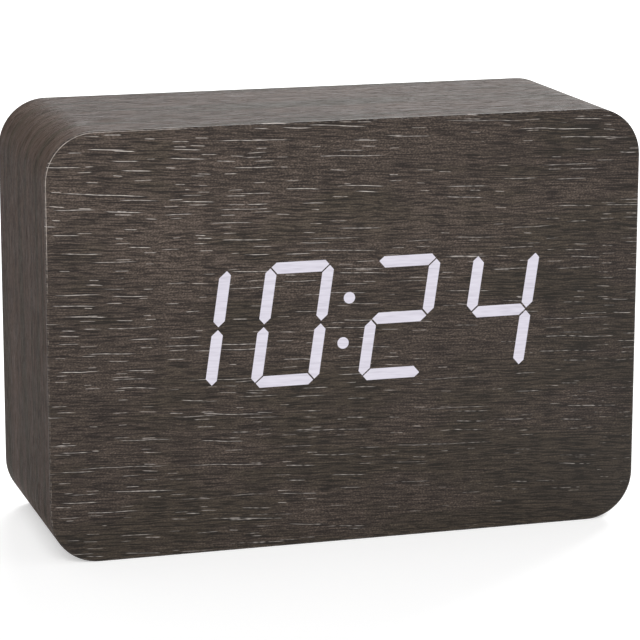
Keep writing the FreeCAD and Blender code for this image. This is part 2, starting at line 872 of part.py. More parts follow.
def make_backup_cell():
    """The coin cell that keeps the time, in its round holder."""
    x, z = "Sizes.backup_x", "Layout.backup_z"
    seat = "Layout.display_board_rear + Sizes.holder_floor"
    cell = cylinder("backup_cell", "Sizes.backup_radius", "Sizes.backup_thickness", x, seat, z)
    inner = "Sizes.backup_radius + Sizes.holder_gap"
    tall = "Sizes.holder_floor + Sizes.holder_reach"
    cup = cylinder("HolderCup", f"{inner} + Sizes.holder_wall", tall, x, "Layout.display_board_rear", z)
    well = cylinder("HolderWell", inner, "Sizes.backup_thickness", x, seat, z)
    return [cell, boolean("Part::Cut", "backup_cell_holder", cup, well)]


def make_small_parts():
    """The power capacitor, and a resistor for each bar of a digit."""
    capacitor = cylinder(
        "power_capacitor",
        "Sizes.capacitor_radius",
        "Sizes.capacitor_height",
        "Sizes.capacitor_x",
        "Layout.key_board_front - Sizes.capacitor_height",
        "Layout.capacitor_z",
    )
    resistors = []
    edges = [size(f"resistor_{name}") for name in ("width", "height", "length")]
    for i in range(int(size("resistor_count"))):
        x = size("resistor_row_x") + i * size("resistor_pitch")
        corner = FreeCAD.Vector(x, at("display_board_rear"), at("resistor_z"))
        resistors.append(Part.makeBox(*edges, corner))
    return [capacitor, feature("segment_resistors", Part.makeCompound(resistors))]


def make_ribbon():
    """The flat cable between the two boards, with a slack bow, and its two plugs."""
    depth, width, height = "Sizes.plug_depth", "Sizes.plug_width", "Sizes.plug_height"
    x, z = "Sizes.ribbon_x", "Layout.ribbon_z"
    near_plug = box("display_board_plug", width, depth, height, x, "Layout.display_board_rear", z)
    far_plug = box("key_board_plug", width, depth, height, x, f"Layout.key_board_front - {depth}", z)

    start = at("display_board_rear") + size("plug_depth")
    end = at("key_board_front") - size("plug_depth")
    left = size("ribbon_x") - size("ribbon_width") / 2

    def bow(offset):
        low, high = (FreeCAD.Vector(left, y, at("ribbon_z") + offset) for y in (start, end))
        top = FreeCAD.Vector(left, (start + end) / 2, at("ribbon_z") + offset + size("ribbon_bulge"))
        return Part.Arc(low, top, high).toShape()

    under, over = bow(-size("ribbon_thickness") / 2), bow(size("ribbon_thickness") / 2)
    ends = [Part.makeLine(a.Point, b.Point) for a, b in zip(under.Vertexes, over.Vertexes)]
    outline = Part.Wire(Part.__sortEdges__([under, over] + ends))
    ribbon = feature("ribbon_cable", Part.Face(outline).extrude(FreeCAD.Vector(size("ribbon_width"), 0, 0)))
    return [near_plug, far_plug, ribbon]


def make_socket():
    """The power socket: a thin metal shell round a tongue, both standing on the switch board."""
    x, z = "Sizes.socket_x", "Layout.socket_z"
    base = "Layout.key_board_rear"
    width, height, length = "Sizes.socket_width", "Sizes.socket_height", "Sizes.socket_length"
    wall = "Sizes.socket_wall"
    floor = f"{base} + {wall}"
    outer = box("ShellOuter", width, length, height, x, base, z)
    inner = box("ShellInner", f"({width} - 2 * {wall})", length, f"({height} - 2 * {wall})", x, floor, z)
    shell = boolean("Part::Cut", "socket_shell", outer, inner)
    reach = f"({length} - {wall} - Sizes.tongue_recess)"
    tongue = box("socket_tongue", "Sizes.tongue_width", reach, "Sizes.tongue_thickness", x, floor, z)
    return [shell, tongue]


# ---------------------------------------------------------------------------------------------- cover and bay


def make_rear_cover():
    """The black cover: plate, battery tub, screw posts, and holes for the buttons and the socket."""
    body = new_body("rear_cover")
    side = "Layout.cover_side"
    corner = "Sizes.cover_corner - Sizes.cover_gap"
    plate = sketch_on(body, "Plate", "Layout.cover_rear")
    add_round_rectangle(plate, f"-{side}", side, "Layout.cover_low", "Layout.cover_top", corner)
    pad(body, plate, "Sizes.cover_thickness")

    wall = "Sizes.bay_wall"
    tub = sketch_on(body, "Tub", "Layout.cover_front")
    add_rectangle(
        tub,
        f"Layout.bay_left - {wall}",
        f"Layout.bay_right + {wall}",
        f"Layout.bay_low - {wall}",
        f"Layout.bay_top + {wall}",
    )
    pad(body, tub, "Layout.cover_front - Layout.bay_under")

    posts = sketch_on(body, "Posts", "Layout.cover_front")
    for x, z in POSTS:
        add_circle(posts, x, z, "Sizes.post_radius")
    pad(body, posts, "Layout.cover_front - Layout.key_board_rear")

    doorway = sketch_on(body, "Doorway", "Layout.cover_rear")
    edges = ("Layout.doorway_left", "Layout.doorway_right", "Layout.doorway_low", "Layout.doorway_top")
    add_round_rectangle(doorway, *edges, "Sizes.door_corner")
    pocket(body, doorway, "Layout.cover_rear - Layout.door_seat")

    bay = sketch_on(body, "Bay", "Layout.door_seat")
    add_rectangle(bay, "Layout.bay_left", "Layout.bay_right", "Layout.bay_low", "Layout.bay_top")
    pocket(body, bay, "Layout.door_seat - Layout.bay_floor")

    slots = sketch_on(body, "TabSlots", "Layout.door_seat")
    for sign in ("-", "+"):
        middle = f"Sizes.bay_x {sign} Sizes.tab_spacing / 2"
        reach = "(Sizes.tab_width / 2 + Sizes.tab_gap)"
        add_rectangle(
            slots, f"{middle} - {reach}", f"{middle} + {reach}", f"Layout.bay_low - {wall}", "Layout.bay_low"
        )
    pocket(body, slots, "Layout.door_seat - Layout.tab_front + Sizes.tab_swing_gap")

    lugs = sketch_on(body, "LugSlots", "Layout.bay_floor")
    for x, z in LUGS:
        reach = "(Sizes.lug_width / 2 + Sizes.lug_gap)"
        thick = "(Sizes.contact_thickness / 2 + Sizes.lug_gap)"
        add_rectangle(lugs, f"{x} - {reach}", f"{x} + {reach}", f"{z} - {thick}", f"{z} + {thick}")
    pocket(body, lugs, wall)

    holes = sketch_on(body, "ButtonHoles", "Layout.cover_rear")
    for x in BUTTON_X:
        add_circle(holes, x, "Layout.button_z", "Sizes.button_radius + Sizes.button_bore_gap")
    for x, z in COVER_SCREWS:
        add_circle(holes, x, z, "Sizes.screw_radius + Sizes.screw_hole_gap")
    gap = "Sizes.socket_hole_gap"
    add_rectangle(
        holes,
        f"Sizes.socket_x - Sizes.socket_width / 2 - {gap}",
        f"Sizes.socket_x + Sizes.socket_width / 2 + {gap}",
        f"Layout.socket_z - Sizes.socket_height / 2 - {gap}",
        f"Layout.socket_z + Sizes.socket_height / 2 + {gap}",
    )
    pocket(body, holes, "Sizes.cover_thickness")

    counterbores = sketch_on(body, "Counterbores", "Layout.cover_rear")
    for x, z in COVER_SCREWS:
        add_circle(counterbores, x, z, "Sizes.screw_head_radius + Sizes.screw_hole_gap")
    pocket(body, counterbores, "Sizes.screw_counterbore")

    post_depth = "(Sizes.screw_length - Sizes.board_thickness + Sizes.screw_gap)"
    pilots = sketch_on(body, "PostPilots", f"Layout.key_board_rear + {post_depth}")
    for x, z in POSTS:
        add_circle(pilots, x, z, "Sizes.screw_radius + Sizes.screw_gap")
    pocket(body, pilots, post_depth)
    return body


def make_battery_door():
    """A plate with two tabs on its lower edge, a springy latch on its upper edge and a finger dip."""
    body = new_body("battery_door")
    outline = sketch_on(body, "DoorOutline", "Layout.cover_rear")
    edges = ("Layout.door_left", "Layout.door_right", "Layout.door_low", "Layout.door_top")
    add_round_rectangle(outline, *edges, "Sizes.door_corner - Sizes.door_gap")
    pad(body, outline, "Sizes.door_thickness")

    tab_places = [f"Sizes.bay_x {sign} Sizes.tab_spacing / 2" for sign in ("-", "+")]
    half = "Sizes.tab_width / 2"
    roots = sketch_on(body, "TabRoots", "Layout.door_front")
    root_low = "Layout.tab_top - Sizes.tab_root"
    for middle in tab_places:
        add_rectangle(roots, f"{middle} - {half}", f"{middle} + {half}", root_low, "Layout.tab_top")
    pad(body, roots, "Layout.door_front - Layout.tab_front")

    tabs = sketch_on(body, "Tabs", "Layout.tab_rear")
    for middle in tab_places:
        add_rectangle(tabs, f"{middle} - {half}", f"{middle} + {half}", "Layout.tab_low", "Layout.tab_top")
    pad(body, tabs, "Sizes.tab_thickness")

    nose = sketch_on(body, "LatchNose", "Layout.door_front")
    half = "Sizes.latch_width / 2"
    nose_top = "Layout.bay_top - Sizes.tab_gap"
    add_rectangle(
        nose, f"Sizes.bay_x - {half}", f"Sizes.bay_x + {half}", f"{nose_top} - Sizes.nose_length", nose_top
    )
    pad(body, nose, "Sizes.nose_height")

    slots = sketch_on(body, "LatchSlots", "Layout.cover_rear")
    for sign in ("-", "+"):
        middle = f"Sizes.bay_x {sign} ({half} + Sizes.latch_slot / 2)"
        reach = "Sizes.latch_slot / 2"
        low, top = "Layout.door_top - Sizes.latch_length", "Layout.door_top + Sizes.door_gap"
        add_rectangle(slots, f"{middle} - {reach}", f"{middle} + {reach}", low, top)
    pocket(body, slots, "Sizes.door_thickness")

    grip = sketch_on(body, "FingerDip", "Layout.cover_rear")
    dip_z = "Layout.door_top - Sizes.latch_length - Sizes.grip_radius - Sizes.grip_margin"
    add_circle(grip, "Sizes.bay_x", dip_z, "Sizes.grip_radius")
    pocket(body, grip, "Sizes.grip_depth")
    return body


def make_cells():
    """Three cells side by side, each the other way round from the one beside it."""
    solids = []
    for index, x_expression in enumerate(CELL_X):
        x = float(sheet.evalExpression(x_expression))
        nub_up = index % 2 == 0
        can = size("cell_length") - size("cell_nub_height")
        low = at("bay_low") + size("contact_thickness")
        low += size("spring_length") if nub_up else size("cell_nub_height")
        nub_low = low + can if nub_up else low - size("cell_nub_height")
        up = FreeCAD.Vector(0, 0, 1)
        body = Part.makeCylinder(size("cell_radius"), can, FreeCAD.Vector(x, at("cell_y"), low), up)
        nub_base = FreeCAD.Vector(x, at("cell_y"), nub_low)
        nub = Part.makeCylinder(size("cell_nub_radius"), size("cell_nub_height"), nub_base, up)
        solids.append(body.fuse(nub))
    return feature("battery_cells", Part.makeCompound(solids))


def make_contacts():
    """Four metal strips: two end contacts with lugs, and two that join neighbouring cells."""
    thick = size("contact_thickness")
    ends = [float(sheet.evalExpression(x)) for x in CELL_X]
    half = size("contact_width") / 2
    strips = []
    for first, last, upper in ((0, 0, True), (1, 2, True), (0, 1, False), (2, 2, False)):
        left, right = ends[first] - half, ends[last] + half
        z = at("bay_top") - thick if upper else at("bay_low")
        corner = FreeCAD.Vector(left, at("bay_floor"), z)
        strip = Part.makeBox(right - left, size("contact_height"), thick, corner)
        if first == last:
            reach = size("bay_wall") + size("lug_length")
            lug_corner = FreeCAD.Vector(ends[first] - size("lug_width") / 2, at("bay_floor") - reach, z)
            strip = strip.fuse(Part.makeBox(size("lug_width"), reach, thick, lug_corner))
            strip = strip.removeSplitter()
        strips.append(strip)
    return feature("battery_contacts", Part.makeCompound(strips))


def make_springs():
    """One coil spring at the flat end of each cell."""
    wire = size("spring_wire")
    solids = []
    for index, x_expression in enumerate(CELL_X):
        x = float(sheet.evalExpression(x_expression))
        height = size("spring_length") - 2 * wire
        helix = Part.makeHelix(height / size("spring_turns"), height, size("spring_radius"))
        start = helix.Edges[0]
        tangent = start.tangentAt(start.FirstParameter)
        ring = Part.Wire(Part.makeCircle(wire, start.valueAt(start.FirstParameter), tangent))
        coil = Part.Wire(helix.Edges).makePipeShell([ring], True, True)
        low = at("bay_low") + size("contact_thickness") + wire
        if index % 2:
            low = at("bay_top") - size("contact_thickness") - wire - height
        coil.translate(FreeCAD.Vector(x, at("cell_y"), low))
        solids.append(coil)
    return feature("contact_springs", Part.makeCompound(solids))


def make_leads():
    """Two insulated wires, from the lugs under the bay to the switch board."""
    radius, bend = size("lead_radius"), size("lead_bend")
    y = at("bay_under") - size("lug_length") + radius
    end_y = at("key_board_front")
    wires = []
    for x_expression, z_expression in LUGS:
        start_x = float(sheet.evalExpression(x_expression)) - size("lug_width") / 2
        z = float(sheet.evalExpression(z_expression))
        turn_x = at("key_board_right") - size("board_edge") / 2
        start = FreeCAD.Vector(start_x, y, z)
        before = FreeCAD.Vector(turn_x + bend, y, z)
        after = FreeCAD.Vector(turn_x, y + bend, z)
        inward = bend * (1 - math.cos(math.pi / 4))
        middle = FreeCAD.Vector(turn_x + inward, y + inward, z)
        path = Part.Wire([
            Part.makeLine(start, before),
            Part.Arc(before, middle, after).toShape(),
            Part.makeLine(after, FreeCAD.Vector(turn_x, end_y, z)),
        ])
        ring = Part.Wire(Part.makeCircle(radius, start, FreeCAD.Vector(-1, 0, 0)))
        wires.append(path.makePipeShell([ring], True, True))
    return feature("battery_leads", Part.makeCompound(wires))


# ----------------------------------------------------------------------------------------------- push buttons


def make_button(index, x):
    """A round cap, which a flange keeps behind the cover, and the switch plunger that it pushes."""
    cap = new_body(f"button_cap_{index}")
    disc = sketch_on(cap, "Cap", "Layout.cover_rear + Sizes.button_rise")
    add_circle(disc, x, "Layout.button_z", "Sizes.button_radius")
    pad(cap, disc, "Layout.cover_rear + Sizes.button_rise - Layout.plunger_top")
    rim = outer_edges(cap.Shape, at("cover_rear") + size("button_rise"))
    dress(cap, "PartDesign::Fillet", rim, "Radius", "Sizes.button_edge")
    flange = sketch_on(cap, "Flange", "Layout.flange_rear")
    add_circle(flange, x, "Layout.button_z", "Sizes.flange_radius")
    pad(cap, flange, "Sizes.flange_thickness")

    plunger = new_body(f"switch_plunger_{index}")
    stem = sketch_on(plunger, "Stem", "Layout.plunger_top")
    add_circle(stem, x, "Layout.button_z", "Sizes.plunger_radius")
    pad(plunger, stem, "Sizes.plunger_length")
    return [cap, plunger]


def make_switch_bodies():
    """The fixed bodies of the three switches, each with a bore for its plunger."""
    body = new_body("switch_bodies")
    half = "Sizes.switch_side / 2"
    cases = sketch_on(body, "Cases", "Layout.switch_top")
    for x in BUTTON_X:
        add_rectangle(
            cases, f"{x} - {half}", f"{x} + {half}", f"Layout.button_z - {half}", f"Layout.button_z + {half}"
        )
    pad(body, cases, "Sizes.switch_height")
    bores = sketch_on(body, "Bores", "Layout.switch_top")
    for x in BUTTON_X:
        add_circle(bores, x, "Layout.button_z", "Sizes.plunger_radius + Sizes.plunger_gap")
    below = "Sizes.plunger_length - Sizes.plunger_rise"
    pocket(body, bores, f"{below} + Sizes.press_travel + Sizes.plunger_gap")
    return body


# ------------------------------------------------------------------------------------------------------ build

parts = [make_wood_core(), make_wrap_veneer(), make_front_veneer(), make_rear_veneer()]
parts += make_display()
parts += [make_light_chips()]
parts += make_boards()
parts += [make_chip("controller"), make_chip("driver"), make_chip_legs(), make_crystal(), make_buzzer()]
parts += make_backup_cell()
parts += make_small_parts()
parts += make_ribbon()
parts += make_socket()
parts += [make_rear_cover(), make_battery_door(), make_cells(), make_contacts(), make_springs(), make_leads()]
for number, button_place in enumerate(BUTTON_X, start=1):
    parts += make_button(number, button_place)
parts += [make_switch_bodies()]

document.recompute()

for item in document.Objects:
    if any(word in item.State for word in ("Invalid", "Error")):
        raise RuntimeError(f"{item.Label} failed: {item.State}")
for part in parts:
    if part.Shape.isNull() or not part.Shape.isValid() or not part.Shape.Solids:
        raise RuntimeError(f"{part.Label} has no valid solid")

os.makedirs("parts", exist_ok=True)
for part in parts:
    part.Shape.exportStep(f"parts/{part.Label}.step")
    print(f"{part.Label}: {len(part.Shape.Solids)} solids, {part.Shape.Volume:.1f} mm3")
print(f"{len(parts)} nodes")
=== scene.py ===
# %% [markdown]
# # A wood block table clock
#
# The real clock is a fibreboard block wrapped in dark veneer. Behind the front sheet sits a display whose light
# shines through the wood, so the digits seem to float in the grain. The construction model already holds every
# solid. This notebook gives each of them its finish, adds the small pieces that are easier to shape as meshes, and
# lights the whole like a product on a pale table.

# %% Load the frame
import json
import math

import bmesh
import bpy
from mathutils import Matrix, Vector


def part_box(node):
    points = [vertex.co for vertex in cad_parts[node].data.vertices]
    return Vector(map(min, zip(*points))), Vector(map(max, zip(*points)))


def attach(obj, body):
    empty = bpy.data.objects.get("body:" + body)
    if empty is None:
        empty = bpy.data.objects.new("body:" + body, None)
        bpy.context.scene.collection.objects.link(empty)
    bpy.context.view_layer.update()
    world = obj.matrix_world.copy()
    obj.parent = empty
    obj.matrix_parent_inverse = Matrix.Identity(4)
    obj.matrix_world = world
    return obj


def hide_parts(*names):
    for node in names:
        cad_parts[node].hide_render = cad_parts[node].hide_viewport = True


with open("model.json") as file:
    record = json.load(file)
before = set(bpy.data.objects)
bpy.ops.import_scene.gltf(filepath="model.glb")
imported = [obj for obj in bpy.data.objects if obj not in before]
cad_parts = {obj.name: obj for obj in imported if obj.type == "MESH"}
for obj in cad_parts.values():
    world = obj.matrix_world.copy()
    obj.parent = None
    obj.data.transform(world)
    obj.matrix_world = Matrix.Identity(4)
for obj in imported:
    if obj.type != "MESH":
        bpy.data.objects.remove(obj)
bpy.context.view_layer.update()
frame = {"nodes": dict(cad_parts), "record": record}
nodes = frame["nodes"]

MM = 0.001
# The block in mm: its Z starts at 0, at the base, and FACE is the Y of its front.
HALF_WIDTH, HALF_HEIGHT, FACE = 50, 35, -19

# %% [markdown]
# ## Shader sums written as sums
#
# A material is a tree of nodes, and most of them only add, multiply or compare. Placed by hand, such a tree is hard
# to read. A small class that wraps a socket and overloads Python's operators lets an expression build its own Math
# nodes. Every other node comes from one method, which sets a node's type and options first and its sockets after.


# %% A socket that sums can be written with
class Wire:
    """A socket of a material's tree. A sum of wires and numbers adds its Math nodes."""

    def __init__(self, finish, socket):
        self.finish = finish
        self.socket = socket

    def sum(self, operation, *terms):
        return self.finish.add("ShaderNodeMath", {"operation": operation}, dict(enumerate(terms)))

    def __add__(self, other):
        return self.sum("ADD", self, other)

    __radd__ = __add__

    def __sub__(self, other):
        return self.sum("SUBTRACT", self, other)

    def __rsub__(self, other):
        return self.sum("SUBTRACT", other, self)

    def __mul__(self, other):
        return self.sum("MULTIPLY", self, other)

    __rmul__ = __mul__

    def __truediv__(self, other):
        return self.sum("DIVIDE", self, other)

    def __abs__(self):
        return self.sum("ABSOLUTE", self)

    def __lt__(self, other):
        return self.sum("LESS_THAN", self, other)

    def larger(self, other):
        return self.sum("MAXIMUM", self, other)

    def sine(self):
        return self.sum("SINE", self)


# %% A material under construction
def paint(red, green, blue):
    """A colour as a paint chart gives it, from 0 to 255, in the linear values that shaders use."""
    parts = [c / 255 for c in (red, green, blue)]
    return (*(c / 12.92 if c <= 0.04045 else ((c + 0.055) / 1.055) ** 2.4 for c in parts), 1)


class Finish:
    """A material with the numbers that are the same all over it, and methods that add its nodes."""

    def __init__(self, name, **constants):
        self.material = bpy.data.materials.new(name)
        self.material.use_nodes = True
        self.tree = self.material.node_tree
        self.surface = self.tree.nodes["Principled BSDF"]
        for socket, value in constants.items():
            self.surface.inputs[socket.replace("_", " ")].default_value = value

    def feed(self, socket, value):
        if isinstance(value, Wire):
            self.tree.links.new(value.socket, socket)
        else:
            socket.default_value = value

    def add(self, kind, settings, sockets, output=0):
        """Adds one node. output is the socket to go on with, or several of them in a tuple."""
        node = self.tree.nodes.new(kind)
        for name, value in settings.items():
            if name == "stops":
                ramp = node.color_ramp.elements
                while len(ramp) < len(value):
                    ramp.new(0.5)
                for element, (position, colour) in zip(ramp, value):
                    element.position, element.color = position, colour
            else:
                setattr(node, name, value)
        for name, value in sockets.items():
            self.feed(node.inputs[name], value)
        if isinstance(output, tuple):
            return [Wire(self, node.outputs[one]) for one in output]
        return Wire(self, node.outputs[output])

    def set(self, **sockets):
        for name, value in sockets.items():
            self.feed(self.surface.inputs[name.replace("_", " ")], value)
        return self

    def axes(self):
        """X, Y and Z of the piece in millimetres."""
        place = self.add("ShaderNodeTexCoord", {}, {}, "Object")
        return [part * (1 / MM) for part in self.add("ShaderNodeSeparateXYZ", {}, {0: place}, (0, 1, 2))]

    def point(self, x, y, z):
        return self.add("ShaderNodeCombineXYZ", {}, {0: x, 1: y, 2: z})

    def noise(self, x, y, z, detail=0, roughness=0.5):
        """Soft random tones around 0. The three coordinates are in bumps, so a small factor gives a long streak."""
        sockets = {"Vector": self.point(x, y, z), "Scale": 1, "Detail": detail, "Roughness": roughness}
        return self.add("ShaderNodeTexNoise", {}, sockets) - 0.5

    def ramp(self, value, *stops):
        """Colours along a value from 0 to 1. Each stop is a position and its colour."""
        return self.add("ShaderNodeValToRGB", {"stops": stops}, {0: value})

    def mix(self, factor, first, second):
        """A colour between two others. The Mix node's colour sockets have the numbers 6, 7 and 2."""
        return self.add("ShaderNodeMix", {"data_type": "RGBA"}, {0: factor, 6: first, 7: second}, 2)

    def step(self, value, low, high):
        """0 below low, 1 above high, and a soft step between."""
        sockets = {"Value": value, "From Min": low, "From Max": high}
        return self.add("ShaderNodeMapRange", {"interpolation_type": "SMOOTHSTEP"}, sockets)

    def bump(self, height, depth):
        """A relief of the given depth in millimetres, where height goes from 0 to 1."""
        return self.add("ShaderNodeBump", {}, {"Strength": 1, "Distance": depth * MM, "Height": height})


finishes = {}
print("paint(128, 128, 128) is", [round(c, 3) for c in paint(128, 128, 128)])

# %% [markdown]
# ## The front sheet: dark open-grained veneer
#
# The face is a dark stained veneer. Its pores are filled with a pale paste that was wiped off the flat wood, which
# leaves hundreds of thin pale dashes, a tenth of a millimetre thick and a few millimetres long. Between them lies a
# finer grain with short dark slits. An image of real wood could be used, but a pattern that is worked out from the
# piece's own place in millimetres keeps its scale and never repeats. Three layers make it: stretched noise for the
# grain, slow noise for lighter and darker patches, and strokes for the pores and slits, drawn one to a Voronoi cell.
#
# All of it adds up to one tone, and a ramp turns that tone into a colour. There are two ramps, a ruddy brown and a
# greenish one, because the stain took unevenly. The sheet is a little darker near its ends and along its top, and its
# dashes are brightest at the upper left.


# %% Pores, one stroke to a cell
def strokes(finish, x, z, cell, share, reach, thickness):
    """Pointed dashes along X, and the shade that lies round them, both from 0 to 1.

    cell is the room for one dash in mm, share is how many cells hold one, and reach is the shortest and the longest
    half length."""
    wide, tall = cell
    shortest, longest = reach
    seeds = {"Vector": finish.point(x / wide, z / tall, 0), "Scale": 1, "Randomness": 0.85}
    random, centre = finish.add("ShaderNodeTexVoronoi", {"voronoi_dimensions": "2D"}, seeds, ("Color", "Position"))
    chance, length, lean = finish.add("ShaderNodeSeparateColor", {}, {0: random}, (0, 1, 2))
    across, up = finish.add("ShaderNodeSeparateXYZ", {}, {0: centre}, (0, 1))
    along = x - across * wide
    off = abs(z - up * tall + along * (lean - 0.5) * 0.05)
    inside = 1 - abs(along) / (shortest + length * (longest - shortest))
    taper = finish.step(inside, 0, 0.5)
    strength = (chance < share) * (0.55 + 0.45 * lean)
    body = (1 - finish.step(off - thickness / 2 * taper, -0.04, 0.04)) * finish.step(inside, 0, 0.3) * strength
    shade = (1 - finish.step(off, 0.08, 0.32)) * taper * strength
    return body, shade


# %% The face veneer
GRAIN_FALL = 0.045  # how far the grain falls for each millimetre to the right


def face_veneer():
    wood = Finish("face_veneer", Specular_IOR_Level=0.25)
    x, y, z = wood.axes()
    above = z - HALF_HEIGHT

    # The grain, from broad to fine, along lines that sway a little
    sway = 1.6 * wood.noise(x * 0.022, 0, z * 0.035, 1) + 0.35 * wood.noise(x * 0.2, 9, z * 0.4)
    grain_z = z + GRAIN_FALL * x + sway
    patches = wood.noise(x * 0.04, 5, grain_z * 0.1, 2)
    bands = wood.noise(x * 0.02, 1, grain_z * 0.7, 2, 0.6)
    streaks = wood.noise(x * 0.08, 2, grain_z * 2.2, 2, 0.7)
    hairs = wood.noise(x * 0.3, 3, grain_z * 4.2, 1)
    speckle = wood.noise(x * 2.7 + z * 1.5, 4, z * 4.2 - x * 1.2, 1)
    lines = wood.step(wood.noise(x * 0.16, 6, grain_z * 3.4, 1), 0.03, 0.11)
    wisps = wood.step(wood.noise(x * 0.36, 11, grain_z * 4.4, 1), 0.03, 0.11)
    light = wood.step(patches, -0.12, 0.16)

    # One tone from all of it, with the sheet's lighter and darker places
    rims = 0.055 * wood.step(abs(x), 29, 44) + 0.08 * wood.step(z, 55, 62) * wood.step(x, -38, -18)
    fade = 0.075 * wood.step(z, 38, 56) + 0.0006 * z - 0.001 * x - 0.052 - rims
    crisp = 1.12 + 0.0022 * (z - 32) + 0.0004 * x
    fine = 0.5 * hairs + (0.55 + 0.5 * light) * speckle
    fine = fine - (0.28 - 0.1 * light) * lines - (0.26 - 0.08 * light) * wisps
    tone = 0.505 + fade + 0.2 * bands + 0.26 * streaks + 0.16 * patches + crisp * fine
    slits = strokes(wood, x + 5, grain_z + 3, (4.8, 0.85), 0.62, (0.8, 2.6), 0.13)[0]
    tone = tone - 0.55 * slits

    # The pores, in three lengths, in a darker surround, and the stain's two colours
    crowd = 0.42 - 0.002 * x + 0.002 * above + 0.8 * wood.noise(x * 0.03, 7, z * 0.08)
    medium, medium_shade = strokes(wood, x, grain_z, (9.5, 1.7), crowd, (1.2, 4.2), 0.09)
    long, long_shade = strokes(wood, x + 3, grain_z + 1, (19, 3.0), crowd, (3, 8.5), 0.09)
    short = strokes(wood, x + 7, grain_z + 2, (4.6, 1.4), 0.9 * crowd, (0.7, 1.9), 0.09)[0]
    tone = tone - 0.28 * medium_shade.larger(long_shade)
    brown = wood.ramp(tone, (0.1, paint(36, 29, 26)), (0.5, paint(73, 63, 56)), (0.9, paint(120, 106, 97)))
    green = wood.ramp(tone, (0.1, paint(34, 29, 24)), (0.5, paint(69, 60, 51)), (0.9, paint(112, 101, 89)))
    ruddy = wood.step(patches + 0.3 * bands + 0.0022 * above - 0.0012 * x, -0.12, 0.06)
    base = wood.mix(ruddy, green, brown)

    # The paste in the pores, broken up along them, and the front edge's pale rim: partly worn raw wood, partly
    # painted highlight
    broken = 0.32 - 0.0047 * x + 0.0065 * z + 1.5 * wood.noise(x * 1.2, 8, grain_z * 2)
    filler = medium.larger(long).larger(0.8 * short) * broken
    base = wood.mix(filler, base, paint(228, 218, 210))
    edge = wood.step(y, FACE + 0.005, FACE + 0.04) * (1 - wood.step(y, FACE + 0.08, FACE + 0.14))
    # The rim is pale raw veneer in part. Its extra strength towards the upper left arc is a painted highlight where
    # the edge catches the light.
    worn = 0.03 + 2 * wood.noise(x * 1.3, 12, z * 1.3, 2) + 0.7 * wood.step(z - x, 92, 104)
    base = wood.mix(edge * worn, base, paint(190, 180, 173))
    relief = wood.bump(0.6 + 0.4 * streaks + 0.5 * hairs - 0.3 * lines - 0.3 * filler, 0.03)
    return wood.set(Base_Color=base, Roughness=0.56 + 0.3 * streaks + 0.1 * filler, Normal=relief)


finishes["face_veneer"] = face_veneer()
print("face veneer:", len(finishes["face_veneer"].tree.nodes), "nodes")

# %% [markdown]
# ## The band round the block
#
# A second strip of veneer runs round the top, the sides and the base. It is smoother than the face, and its grain
# follows the strip, so on the upright sides it stands up, and it bends with the corners. Noise that changes fast
# from front to rear and slowly in both other directions does just that, without unrolling the band. Round the
# corners its colour is painted a little lighter: a painted highlight where the bends catch the light.


# %% The band's veneer
def wrap_veneer():
    wood = Finish("wrap_veneer", Specular_IOR_Level=0.075)
    x, y, z = wood.axes()
    sway = y + 1.1 * wood.noise(x * 0.03, 0, z * 0.03, 1) + 0.5 * wood.noise(x * 0.1, 7, z * 0.1)
    ribbons = wood.noise(x * 0.02, sway * 0.3, z * 0.02, 2)
    bands = wood.noise(x * 0.09, sway * 0.8, z * 0.09, 2, 0.6)
    streaks = wood.noise(x * 0.2, sway * 2.2, z * 0.2, 2, 0.6)
    hairs = wood.noise(x * 0.45, sway * 4.6, z * 0.45, 1)
    speckle = wood.noise(x * 2.1 + y, y * 3.6 - z, z * 2.1 + y, 1)
    dark_pores = wood.step(wood.noise(x * 0.32, sway * 3.0 + 9, z * 0.32, 1), 0.04, 0.18)
    pale_pores = wood.step(wood.noise(x * 0.3, sway * 3.8 + 31, z * 0.3), 0.16, 0.28)
    # Painted highlight: the tone is raised round the rounded corners, where the bends catch the light.
    along = wood.step(abs(x), HALF_WIDTH - 9, HALF_WIDTH - 3)
    painted_corner_highlight = along * wood.step(abs(z - HALF_HEIGHT), HALF_HEIGHT - 9, HALF_HEIGHT - 3)
    tone = 0.52 + 0.17 * painted_corner_highlight + 0.35 * ribbons + 0.22 * bands + 0.18 * streaks + 0.25 * hairs + 0.3 * speckle
    tone = tone - 0.2 * dark_pores + 0.2 * pale_pores
    plum = wood.ramp(tone, (0.12, paint(34, 27, 23)), (0.5, paint(62, 48, 41)), (0.88, paint(106, 91, 82)))
    green = wood.ramp(tone, (0.12, paint(32, 27, 22)), (0.5, paint(57, 48, 39)), (0.88, paint(98, 87, 76)))
    base = wood.mix(wood.step(ribbons + 0.1 * bands, -0.14, 0.02), green, plum)
    height = 0.6 + 0.5 * streaks + 0.5 * hairs + 0.3 * speckle - 0.7 * dark_pores + 0.3 * pale_pores
    dull = 0.68 + 0.5 * streaks + 0.4 * hairs
    return wood.set(Base_Color=base, Roughness=dull, Normal=wood.bump(height, 0.26))


finishes["wrap_veneer"] = wrap_veneer()
print("band veneer:", len(finishes["wrap_veneer"].tree.nodes), "nodes")

# %% [markdown]
# ## The glow of the digits
#
# On the real clock the light of each bar passes through the thin front sheet, so a bar is a patch of wood that
# shines. Letting rays through half a millimetre of veneer would be slow and noisy. Instead, each lit bar gets a skin
# of a fiftieth of a millimetre on the sheet, with the outline of its light well. The skins are cut from the faces of
# the wells' milky fillings, so they stand exactly in front of them. The clock reads 10:24, so the other bars stay
# dark. The skin's light carries faint streaks, because the grain lies in front of it.

# %% Which bars are lit
LIT = {
    "1": {"upper_right", "lower_right"},
    "0": {"top", "bottom", "upper_left", "upper_right", "lower_left", "lower_right"},
    "2": {"top", "upper_right", "middle", "lower_left", "bottom"},
    "4": {"upper_left", "middle", "upper_right", "lower_right"},
}
READING = "1024"
front_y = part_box("front_veneer")[0].y
SKIN = 0.02 * MM
SLANT = math.radians(8.1)


